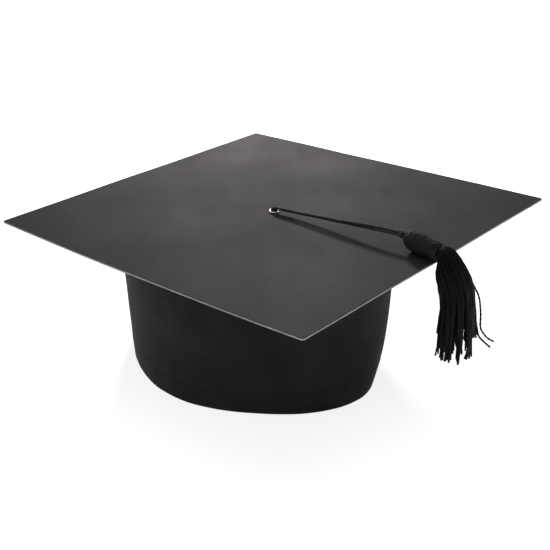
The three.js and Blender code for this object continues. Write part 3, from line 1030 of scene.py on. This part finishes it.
def make_elastic():
    braid = woven("braided_elastic", grey(0.008), grey(0.03), 1.6, 1.3, roughness=0.7, depth=0.25)
    first = FABRIC + GAP
    angles = (RIGHT_SEAM + 1, LEFT_SEAM - 1)
    heights = (ELASTIC_INSET, HEM_HEIGHT - ELASTIC_INSET)
    layers = (first, first + FABRIC)
    cloth_strip("gathered_elastic", angles, heights, layers, braid, "hem_elastic")


def make_label():
    dark, light = (0.62, 0.61, 0.57), (0.84, 0.83, 0.79)
    cloth = woven("label_satin", dark, light, 0.6, 0.5, roughness=0.6, depth=0.05)
    outer = FABRIC + GAP + TAPE + GAP
    heights = (LABEL_LOW, LABEL_HIGH)
    angles = (BACK_SEAM - LABEL_HALF_ANGLE, BACK_SEAM + LABEL_HALF_ANGLE)
    piece = cloth_strip(
        "label_cloth", angles, heights, (outer, outer + 0.4), cloth, "blank_label",
        spacing=(0.5, 1),
    )


def disc_sheet(name, inset, hole, heights, material, node, ripple):
    """A flat sheet of the crown's outline with a round hole under the eyelet."""
    low, high = heights
    x, y, a, b = outline_at(0)[:4]
    centre = Vector((EYELET.x, EYELET.y))
    columns, rings = 180, 24
    points, uvs = [], []
    for i in range(columns):
        angle = TAU * i / columns
        edge = Vector((x + (a - inset) * math.cos(angle), y + (b - inset) * math.sin(angle)))
        inner = centre + (edge - centre).normalized() * hole
        line = [inner.lerp(edge, k / (rings - 1)) for k in range(rings)]
        for flat in line:
            points.append(Vector((flat.x, flat.y, high)))
            uvs.append((flat.x, flat.y))
        for flat in reversed(line):
            wave = ripple * noise.noise(Vector((flat.x / 14, flat.y / 14, 0)))
            points.append(Vector((flat.x, flat.y, low + wave)))
            uvs.append((flat.x, flat.y))
    rows = 2 * rings
    faces = grid_faces(columns, rows, wrap=True, flip=True)
    for i in range(columns):
        here, there = i * rows, ((i + 1) % columns) * rows
        faces.append((here, there, there + rows - 1, here + rows - 1))
    return add_piece(name, points, faces, material, "cap", [node], uvs)


def make_crown(cloth):
    glue_hole = KNOT_HOLE_RADIUS + GLUE_MARGIN
    glue_heights = (CROWN_TOP, BOARD_BOTTOM)
    disc_sheet("glue_film", GLUE_MARGIN, glue_hole, glue_heights, dried_glue(), "glue_layer", 0)
    piece = disc_sheet(
        "crown_cloth_sheet", 0, KNOT_HOLE_RADIUS, (WALL_TOP, CROWN_TOP),
        cloth, "crown_cloth", CROWN_RIPPLE,
    )


def stitch_row(points, faces, places, thread=0.15):
    """Short stitches, each sunk a little at its ends, along pairs of places."""
    for first, last, outward in places:
        middle = (first + last) / 2 + outward * 0.1
        path = smooth_path([first - outward * 0.15, middle, last - outward * 0.15], 2)
        add_tube(points, faces, path, thread, sides=6)


def wall_stitches(height, from_angle, to_angle, inward, spacing=1.75):
    places = []
    count = int((to_angle - from_angle) / spacing)
    for i in range(count):
        start = from_angle + (i + 0.15) * spacing
        end = start + spacing * 0.7
        first, last = wall_point(start, height, inward), wall_point(end, height, inward)
        further = wall_point(start, height, inward + (1 if inward > 0 else -1))
        places.append((first, last, (further - first).normalized()))
    return places


def make_stitching():
    """Thread along the hem and down both sides of the seams, outside and inside."""
    thread = rayon("sewing_thread", level=0.004, roughness=0.7)
    points, faces = [], []
    hem_row = HEM_HEIGHT - 1.4
    inside = 2 * FABRIC + GAP
    casing = 3 * FABRIC + 2 * GAP
    stitch_row(points, faces, wall_stitches(hem_row, LEFT_SEAM + 2, RIGHT_SEAM + 358, 0))
    stitch_row(points, faces, wall_stitches(hem_row, RIGHT_SEAM + 2, LEFT_SEAM - 2, 0))
    stitch_row(points, faces, wall_stitches(hem_row, LEFT_SEAM + 2, RIGHT_SEAM + 358, inside))
    stitch_row(points, faces, wall_stitches(hem_row, RIGHT_SEAM + 2, LEFT_SEAM - 2, casing))
    for seam in (RIGHT_SEAM, BACK_SEAM, LEFT_SEAM):
        for offset in (-2.4, 2.4):
            places = []
            for i in range(28):
                low = 4 + i * 3
                first = wall_point(seam + offset, low, 0)
                last = wall_point(seam + offset, low + 2.1, 0)
                further = wall_point(seam + offset, low, -1)
                places.append((first, last, (further - first).normalized()))
            stitch_row(points, faces, places)
    add_piece("stitching", points, faces, thread, "cap")


def make_label_stitches():
    thread = rayon("label_thread", level=0.3, roughness=0.6)
    points, faces = [], []
    inward = 2 * FABRIC + 2 * GAP + 0.4
    for height in (LABEL_LOW + 1, LABEL_HIGH - 1):
        row = wall_stitches(height, BACK_SEAM - 8.4, BACK_SEAM + 8.4, inward, 1.5)
        stitch_row(points, faces, row)
    add_piece("label_stitches", points, faces, thread, "cap")


# ---- Assembly -------------------------------------------------------------------------


def make_cap():
    make_board()
    make_eyelet(nickel())
    cloth = make_panels()
    make_crown(cloth)
    make_tapes()
    make_elastic()
    make_label()
    make_stitching()
    make_label_stitches()


def make_tassel():
    # The cord and the head are the same black rayon as the skirt's yarn, with painted light in their
    # colour: the cord is painted fifteen times and the head about six times lighter than the skirt.
    cord_yarn_painted_lighter = rayon("twisted_cord", level=0.045, roughness=0.6)
    head_yarn_painted_lighter = rayon("wound_yarn", level=0.019)
    yarn = rayon("tassel_yarn")
    cord, path = make_cord(cord_yarn_painted_lighter)
    make_cord_in_eyelet(cord_yarn_painted_lighter)
    retaining = Vector((0, 0, BOARD_BOTTOM - 5.2)) + EYELET
    make_knot("overhand_knot", retaining, 4.0, 1.25, (0, 0, 1), "cord_anchor", "retaining_knot", cord_yarn_painted_lighter)
    along = route_direction(1, 0, 0)
    knot_place = from_route(KNOT_PLACE)
    knot = make_knot("small_knot", knot_place, 2.4, 0.8, along, "cord", "tassel_knot", cord_yarn_painted_lighter)
    head = make_head(head_yarn_painted_lighter)
    binding = make_binding(head_yarn_painted_lighter)
    make_skirt(yarn)
    make_stray_strands(yarn)


make_camera()
make_tassel()
make_cap()
make_floor()
make_light()
